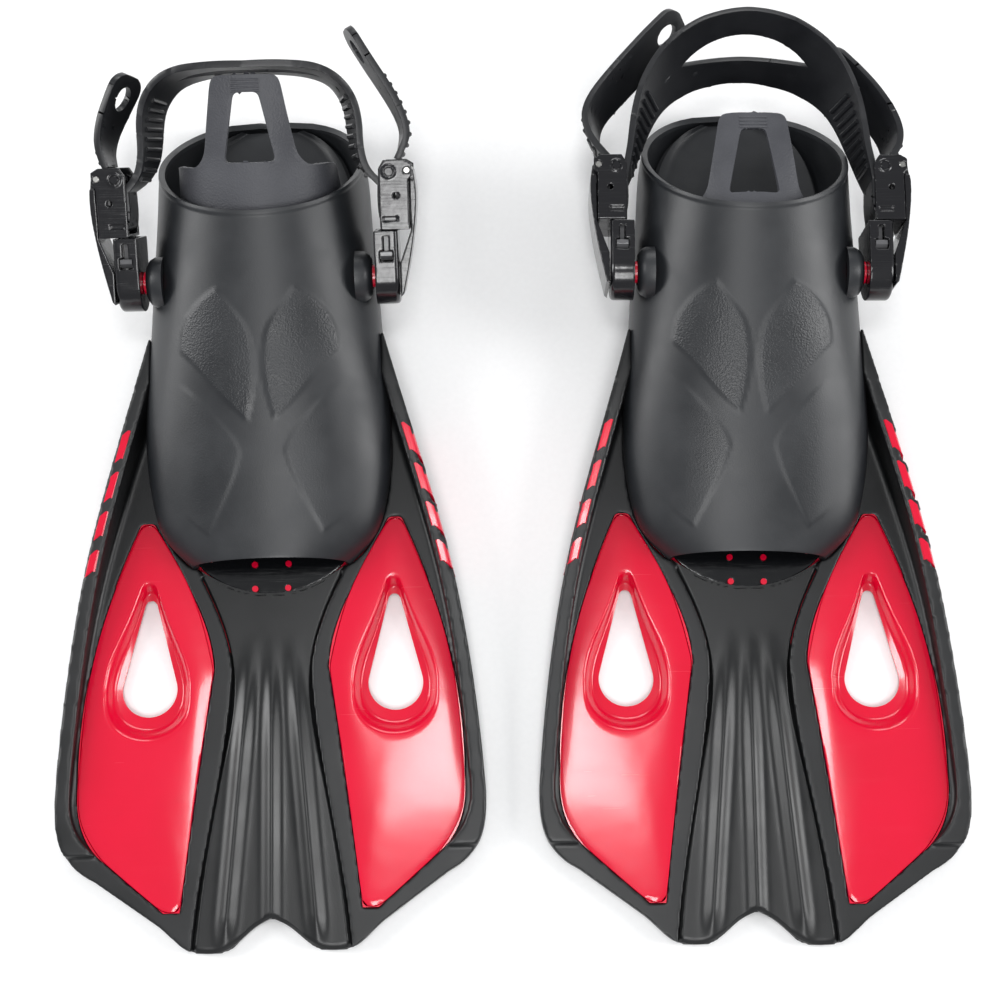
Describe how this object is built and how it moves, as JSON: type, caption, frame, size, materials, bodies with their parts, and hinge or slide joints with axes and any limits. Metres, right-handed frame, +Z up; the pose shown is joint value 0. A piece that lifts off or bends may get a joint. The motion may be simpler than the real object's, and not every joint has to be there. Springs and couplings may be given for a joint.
{
  "type": "pair of swim fins",
  "caption": "Pair of open-heel swim fins: red panels with teardrop vents in a black railed frame, soft foot pocket, pull-up tongue and a swinging heel strap on quick-release buckles.",
  "frame": {"origin": "middle of the pair's bounding box, on the floor that the soles rest on", "axes": "+X to the right as seen from above with the blade tips nearest, +Y from the blade tips to the heels, +Z up"},
  "size_m": [0.4298, 0.4518, 0.1148],
  "materials": {
    "red_plastic": "glossy moulded polypropylene",
    "frame_rubber": "satin overmoulded thermoplastic rubber",
    "channel_rubber": "satin thermoplastic rubber",
    "pocket_rubber": "soft satin thermoplastic rubber",
    "footbed_plastic": "glossy",
    "tongue_rubber": "fine grained thermoplastic rubber",
    "strap_rubber": "satin rubber",
    "buckle_plastic": "glossy moulded nylon",
    "prong_plastic": "glossy moulded acetal",
    "pin_steel": "satin stainless steel"
  },
  "bodies": {
    "left_fin": {"left_blade_core": "red_plastic", "left_blade_frame": "frame_rubber", "left_centre_channel": "channel_rubber", "left_foot_pocket": "pocket_rubber", "left_footbed": "footbed_plastic", "left_outer_lug_cap": "buckle_plastic", "left_inner_lug_cap": "buckle_plastic"},
    "left_tongue": {"left_instep_tongue": "tongue_rubber"},
    "left_outer_clip": {"left_outer_swivel_clip": "buckle_plastic"},
    "left_inner_clip": {"left_inner_swivel_clip": "buckle_plastic"},
    "left_strap": {"left_heel_strap": "strap_rubber", "left_outer_strap_frame": "buckle_plastic", "left_outer_strap_roller": "buckle_plastic", "left_outer_lever_pin": "pin_steel", "left_outer_lever_spring": "pin_steel", "left_inner_strap_frame": "buckle_plastic", "left_inner_strap_roller": "buckle_plastic", "left_inner_lever_pin": "pin_steel", "left_inner_lever_spring": "pin_steel"},
    "left_outer_lever": {"left_outer_cam_lever": "buckle_plastic"},
    "left_outer_upper_prong": {"left_outer_upper_prong": "prong_plastic"},
    "left_outer_lower_prong": {"left_outer_lower_prong": "prong_plastic"},
    "left_inner_lever": {"left_inner_cam_lever": "buckle_plastic"},
    "left_inner_upper_prong": {"left_inner_upper_prong": "prong_plastic"},
    "left_inner_lower_prong": {"left_inner_lower_prong": "prong_plastic"},
    "right_fin": {"right_blade_core": "red_plastic", "right_blade_frame": "frame_rubber", "right_centre_channel": "channel_rubber", "right_foot_pocket": "pocket_rubber", "right_footbed": "footbed_plastic", "right_outer_lug_cap": "buckle_plastic", "right_inner_lug_cap": "buckle_plastic"},
    "right_tongue": {"right_instep_tongue": "tongue_rubber"},
    "right_outer_clip": {"right_outer_swivel_clip": "buckle_plastic"},
    "right_inner_clip": {"right_inner_swivel_clip": "buckle_plastic"},
    "right_strap": {"right_heel_strap": "strap_rubber", "right_outer_strap_frame": "buckle_plastic", "right_outer_strap_roller": "buckle_plastic", "right_outer_lever_pin": "pin_steel", "right_outer_lever_spring": "pin_steel", "right_inner_strap_frame": "buckle_plastic", "right_inner_strap_roller": "buckle_plastic", "right_inner_lever_pin": "pin_steel", "right_inner_lever_spring": "pin_steel"},
    "right_outer_lever": {"right_outer_cam_lever": "buckle_plastic"},
    "right_outer_upper_prong": {"right_outer_upper_prong": "prong_plastic"},
    "right_outer_lower_prong": {"right_outer_lower_prong": "prong_plastic"},
    "right_inner_lever": {"right_inner_cam_lever": "buckle_plastic"},
    "right_inner_upper_prong": {"right_inner_upper_prong": "prong_plastic"},
    "right_inner_lower_prong": {"right_inner_lower_prong": "prong_plastic"}
  },
  "joints": [
    {"name": "left_tongue_pull", "type": "slide", "parent": "left_fin", "child": "left_tongue", "axis": [-0.0163, 0.9334, 0.3584], "range_m": [0, 0.015]},
    {"name": "left_strap_swing", "type": "hinge", "parent": "left_fin", "child": "left_outer_clip", "pos_m": [-0.17898, 0.08889, 0.05], "axis": [0.9998, 0.0175, 0], "range_deg": [-10, 80], "deforming": ["left_instep_tongue"]},
    {"name": "left_inner_swing", "type": "hinge", "parent": "left_fin", "child": "left_inner_clip", "pos_m": [-0.057, 0.09102, 0.05], "axis": [0.9998, 0.0175, 0], "range_deg": [-10, 80]},
    {"name": "left_buckle_release", "type": "slide", "parent": "left_outer_clip", "child": "left_strap", "axis": [-0.0157, 0.8987, 0.4384], "range_m": [0, 0.022]},
    {"name": "left_outer_lever_open", "type": "hinge", "parent": "left_strap", "child": "left_outer_lever", "pos_m": [-0.19176, 0.13362, 0.07192], "axis": [-0.0077, 0.4383, -0.8988], "range_deg": [0, 85], "stiffness_Nm_per_rad": 0.02, "springref_deg": -11.46, "deforming": ["left_outer_lever_spring"]},
    {"name": "left_outer_upper_press", "type": "hinge", "parent": "left_strap", "child": "left_outer_upper_prong", "pos_m": [-0.18006, 0.10506, 0.06746], "axis": [0.9998, 0.0175, 0], "range_deg": [0, 10], "stiffness_Nm_per_rad": 0.3, "deforming": ["left_outer_upper_prong"]},
    {"name": "left_outer_lower_press", "type": "hinge", "parent": "left_strap", "child": "left_outer_lower_prong", "pos_m": [-0.18019, 0.1126, 0.052], "axis": [-0.9998, -0.0175, 0], "range_deg": [0, 10], "stiffness_Nm_per_rad": 0.3, "deforming": ["left_outer_lower_prong"]},
    {"name": "left_inner_lever_open", "type": "hinge", "parent": "left_strap", "child": "left_inner_lever", "pos_m": [-0.04578, 0.13617, 0.07192], "axis": [0.0077, -0.4383, 0.8988], "range_deg": [0, 85], "stiffness_Nm_per_rad": 0.02, "springref_deg": -11.46, "deforming": ["left_inner_lever_spring"]},
    {"name": "left_inner_upper_press", "type": "hinge", "parent": "left_strap", "child": "left_inner_upper_prong", "pos_m": [-0.05648, 0.10722, 0.06746], "axis": [0.9998, 0.0175, 0], "range_deg": [0, 10], "stiffness_Nm_per_rad": 0.3, "deforming": ["left_inner_upper_prong"]},
    {"name": "left_inner_lower_press", "type": "hinge", "parent": "left_strap", "child": "left_inner_lower_prong", "pos_m": [-0.05661, 0.11476, 0.052], "axis": [-0.9998, -0.0175, 0], "range_deg": [0, 10], "stiffness_Nm_per_rad": 0.3, "deforming": ["left_inner_lower_prong"]},
    {"name": "fin_spacing", "type": "slide", "parent": "left_fin", "child": "right_fin", "axis": [1, 0, 0], "range_m": [0, 0.25]},
    {"name": "right_tongue_pull", "type": "slide", "parent": "right_fin", "child": "right_tongue", "axis": [0.0163, 0.9334, 0.3584], "range_m": [0, 0.015]},
    {"name": "right_strap_swing", "type": "hinge", "parent": "right_fin", "child": "right_outer_clip", "pos_m": [0.17898, 0.08889, 0.05], "axis": [0.9998, -0.0175, 0], "range_deg": [0, 100], "deforming": ["right_instep_tongue"]},
    {"name": "right_inner_swing", "type": "hinge", "parent": "right_fin", "child": "right_inner_clip", "pos_m": [0.057, 0.09102, 0.05], "axis": [0.9998, -0.0175, 0], "range_deg": [0, 100]},
    {"name": "right_buckle_release", "type": "slide", "parent": "right_outer_clip", "child": "right_strap", "axis": [0.0174, 0.9974, 0.0698], "range_m": [0, 0.022]},
    {"name": "right_outer_lever_open", "type": "hinge", "parent": "right_strap", "child": "right_outer_lever", "pos_m": [0.19185, 0.13855, 0.05349], "axis": [-0.0012, -0.0697, 0.9976], "range_deg": [0, 85], "stiffness_Nm_per_rad": 0.02, "springref_deg": -11.46, "deforming": ["right_outer_lever_spring"]},
    {"name": "right_outer_upper_press", "type": "hinge", "parent": "right_strap", "child": "right_outer_upper_prong", "pos_m": [0.18016, 0.11042, 0.06013], "axis": [0.9998, -0.0175, 0], "range_deg": [0, 10], "stiffness_Nm_per_rad": 0.3, "deforming": ["right_outer_upper_prong"]},
    {"name": "right_outer_lower_press", "type": "hinge", "parent": "right_strap", "child": "right_outer_lower_prong", "pos_m": [0.18018, 0.11162, 0.04297], "axis": [-0.9998, 0.0175, 0], "range_deg": [0, 10], "stiffness_Nm_per_rad": 0.3, "deforming": ["right_outer_lower_prong"]},
    {"name": "right_inner_lever_open", "type": "hinge", "parent": "right_strap", "child": "right_inner_lever", "pos_m": [0.04587, 0.1411, 0.05349], "axis": [0.0012, 0.0697, -0.9976], "range_deg": [0, 85], "stiffness_Nm_per_rad": 0.02, "springref_deg": -11.46, "deforming": ["right_inner_lever_spring"]},
    {"name": "right_inner_upper_press", "type": "hinge", "parent": "right_strap", "child": "right_inner_upper_prong", "pos_m": [0.05658, 0.11258, 0.06013], "axis": [0.9998, -0.0175, 0], "range_deg": [0, 10], "stiffness_Nm_per_rad": 0.3, "deforming": ["right_inner_upper_prong"]},
    {"name": "right_inner_lower_press", "type": "hinge", "parent": "right_strap", "child": "right_inner_lower_prong", "pos_m": [0.0566, 0.11378, 0.04297], "axis": [-0.9998, 0.0175, 0], "range_deg": [0, 10], "stiffness_Nm_per_rad": 0.3, "deforming": ["right_inner_lower_prong"]}
  ],
  "couplings": [
    {"joint": "left_inner_swing", "follows": "left_strap_swing", "ratio": 1},
    {"joint": "right_inner_swing", "follows": "right_strap_swing", "ratio": 1}
  ]
}
